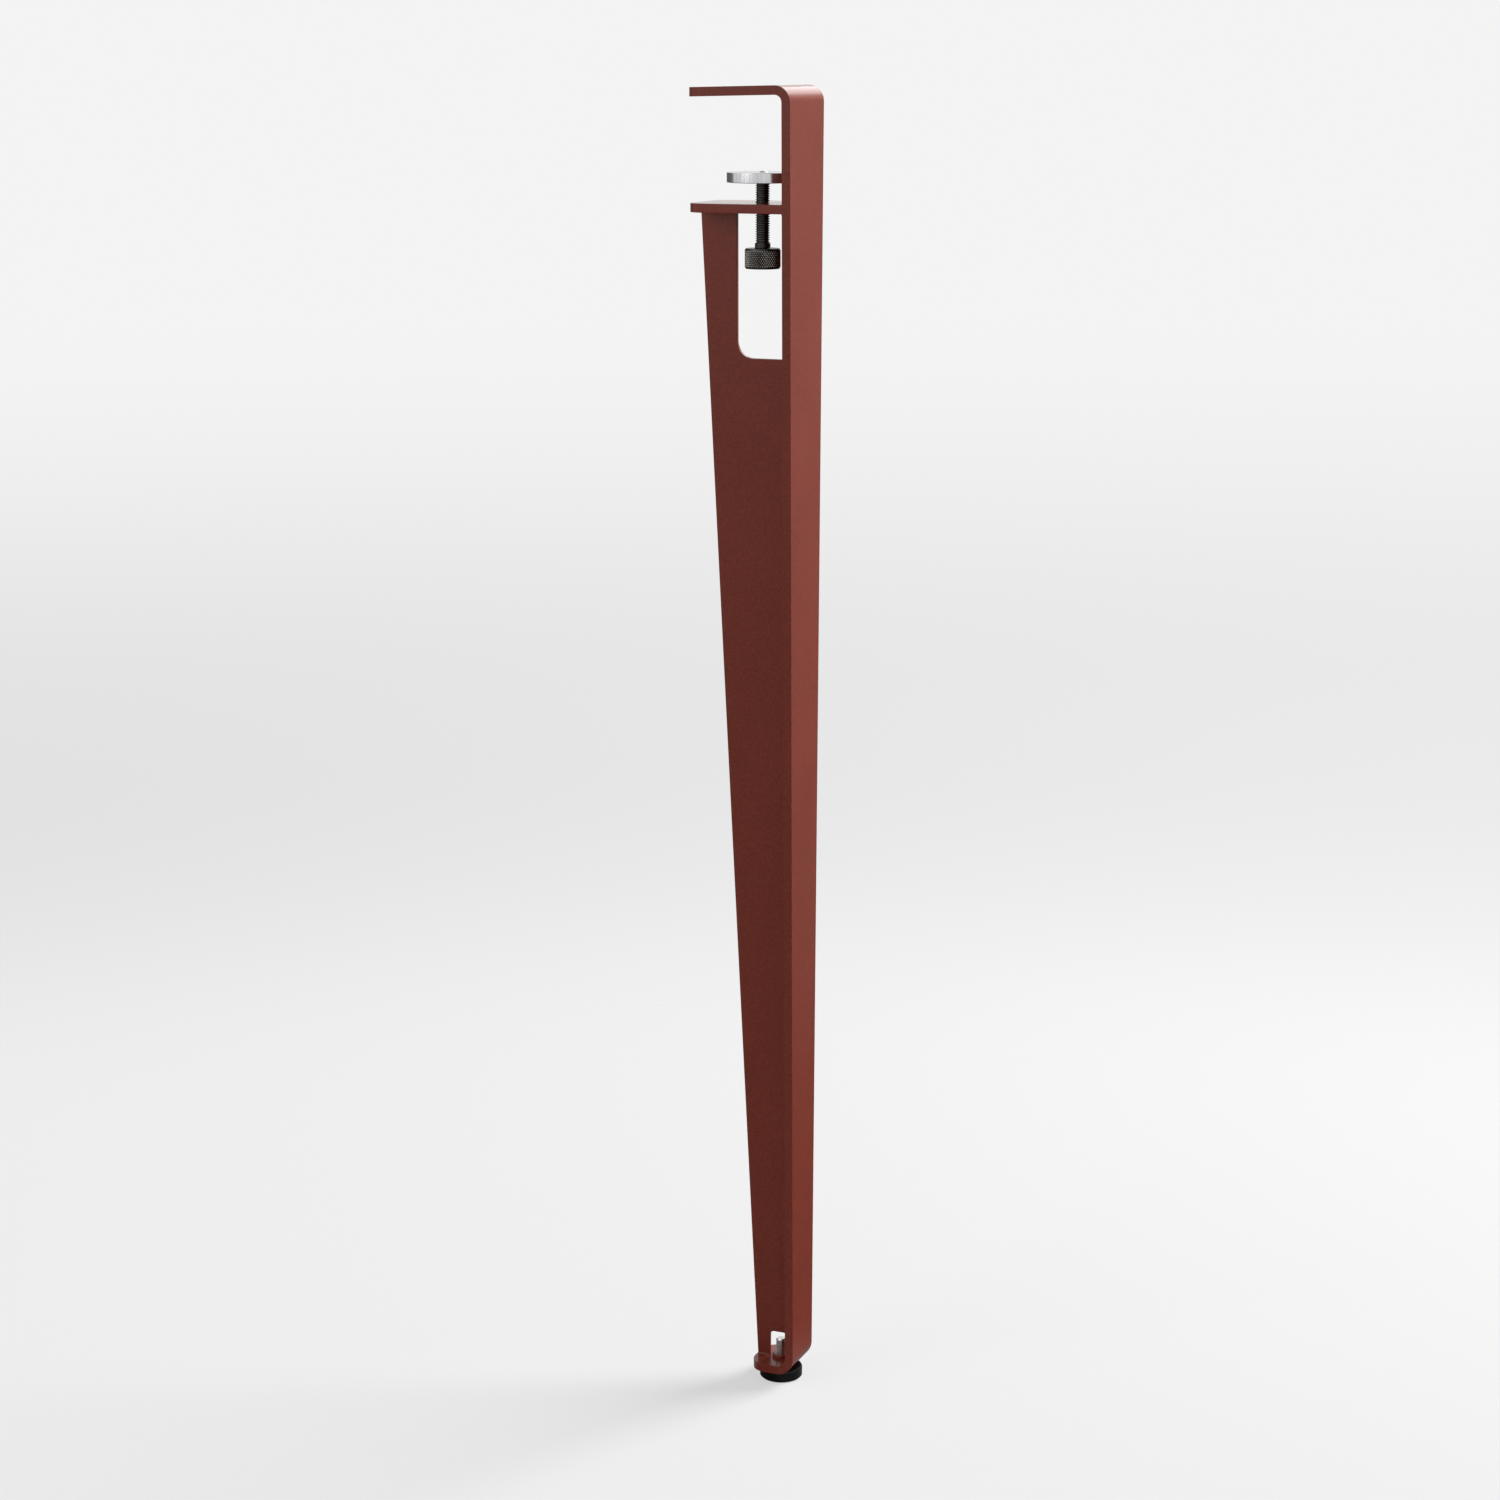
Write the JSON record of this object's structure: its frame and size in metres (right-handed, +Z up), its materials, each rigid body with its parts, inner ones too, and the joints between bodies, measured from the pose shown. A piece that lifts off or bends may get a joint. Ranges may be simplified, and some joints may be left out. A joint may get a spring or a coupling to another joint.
{
  "type": "clamp-on table leg",
  "caption": "Tapered sheet-steel table leg with a clamp at its head for the edge of a table top and a levelling glide at its foot.",
  "frame": {"origin": "middle of the glide's flat underside, on the floor", "axes": "+Z up the leg, +X out of the spine's outer face, away from the table, so that the jaws reach back along -X; the leg is symmetric about Y = 0"},
  "size_m": [0.0622, 0.05, 0.75],
  "materials": {
    "powder_coat": "fine-textured satin powder coat, rust red",
    "black_steel": "blackened",
    "turned_aluminium": "finely turned",
    "bright_steel": "bright zinc plate",
    "black_plastic": "moulded, satin"
  },
  "bodies": {
    "frame": {"spine": "powder_coat", "web": "powder_coat", "lower_jaw": "powder_coat", "foot_bush": "powder_coat"},
    "pad": {"pad_disc": "turned_aluminium"},
    "screw": {"clamp_screw": "black_steel", "knurled_knob": "black_steel", "pad_rivet": "bright_steel"},
    "stud": {"glide_stud": "bright_steel"},
    "glide": {"glide_base": "black_plastic"}
  },
  "joints": [
    {"name": "clamp_travel", "type": "slide", "parent": "frame", "child": "pad", "axis": [0, 0, 1], "range_m": [-0.0106, 0.0165]},
    {"name": "screw_turn", "type": "hinge", "parent": "pad", "child": "screw", "pos_m": [-0.0125, 0, 0.66], "axis": [0, 0, 1], "range_deg": [-3060, 4760]},
    {"name": "glide_travel", "type": "slide", "parent": "frame", "child": "stud", "axis": [0, 0, -1], "range_m": [0, 0.007]},
    {"name": "glide_turn", "type": "hinge", "parent": "stud", "child": "glide", "pos_m": [0, 0, 0.003], "axis": [0, 0, -1], "range_deg": [0, 2525]}
  ],
  "couplings": [
    {"joint": "screw_turn", "follows": "clamp_travel", "rad_per_m": 5026.5},
    {"joint": "glide_turn", "follows": "glide_travel", "rad_per_m": 6283.2}
  ]
}
